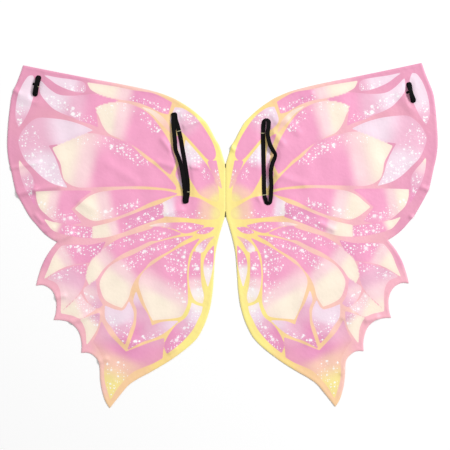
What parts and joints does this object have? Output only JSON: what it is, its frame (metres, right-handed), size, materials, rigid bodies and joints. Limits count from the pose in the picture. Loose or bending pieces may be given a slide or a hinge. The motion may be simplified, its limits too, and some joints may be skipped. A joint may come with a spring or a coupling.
{
  "type": "fairy wings",
  "caption": "Soft printed satin fairy wings for a child, butterfly shaped with scalloped tails, sewn at the centre, with elastic shoulder and finger loops.",
  "frame": {"origin": "middle of the wings' width and height, at the floor that the cloth lies on", "axes": "+X across the wings to the right with the strap side up, +Y up along the centre seam towards the neck notch, +Z out of the cloth towards the wearer's back"},
  "size_m": [1, 0.798, 0.0096],
  "materials": {
    "printed_satin": "printed polyester satin, pink with yellow veins, soft sheen",
    "black_elastic": "flat ribbed elastic, matt black",
    "pale_thread": "pale sewing thread",
    "dark_thread": "dark sewing thread"
  },
  "bodies": {
    "right_wing": {"right_outer_panel": "printed_satin", "right_inner_panel": "printed_satin", "right_edge_stitching": "pale_thread", "centre_seam_thread": "pale_thread", "top_notch_bar_tack": "dark_thread", "bottom_notch_bar_tack": "dark_thread", "right_shoulder_sewn_run": "black_elastic", "right_shoulder_top_tack": "pale_thread", "right_shoulder_bottom_tack": "pale_thread", "right_finger_sewn_run": "black_elastic", "right_finger_tack": "pale_thread"},
    "left_wing": {"left_outer_panel": "printed_satin", "left_inner_panel": "printed_satin", "left_edge_stitching": "pale_thread", "left_shoulder_sewn_run": "black_elastic", "left_shoulder_top_tack": "pale_thread", "left_shoulder_bottom_tack": "pale_thread", "left_finger_sewn_run": "black_elastic", "left_finger_tack": "pale_thread"},
    "left_shoulder_loop": {"left_shoulder_free_run": "black_elastic"},
    "right_shoulder_loop": {"right_shoulder_free_run": "black_elastic"},
    "left_finger_loop": {"left_finger_free_run": "black_elastic"},
    "right_finger_loop": {"right_finger_free_run": "black_elastic"}
  },
  "joints": [
    {"name": "wing_fold", "type": "hinge", "parent": "right_wing", "child": "left_wing", "pos_m": [0, 0.1065, 0.0012], "axis": [0, 1, 0], "range_deg": [0, 130]},
    {"name": "left_shoulder_lift", "type": "hinge", "parent": "left_wing", "child": "left_shoulder_loop", "pos_m": [-0.0802, 0.0766, 0.003], "axis": [-0.1383, 0.9904, 0], "range_deg": [0, 90]},
    {"name": "right_shoulder_lift", "type": "hinge", "parent": "right_wing", "child": "right_shoulder_loop", "pos_m": [0.1001, 0.071, 0.003], "axis": [0.0052, -1, 0], "range_deg": [0, 90]},
    {"name": "left_finger_lift", "type": "slide", "parent": "left_wing", "child": "left_finger_loop", "axis": [0, 0, 1], "range_m": [0, 0.012]},
    {"name": "right_finger_lift", "type": "slide", "parent": "right_wing", "child": "right_finger_loop", "axis": [0, 0, 1], "range_m": [0, 0.012]}
  ]
}
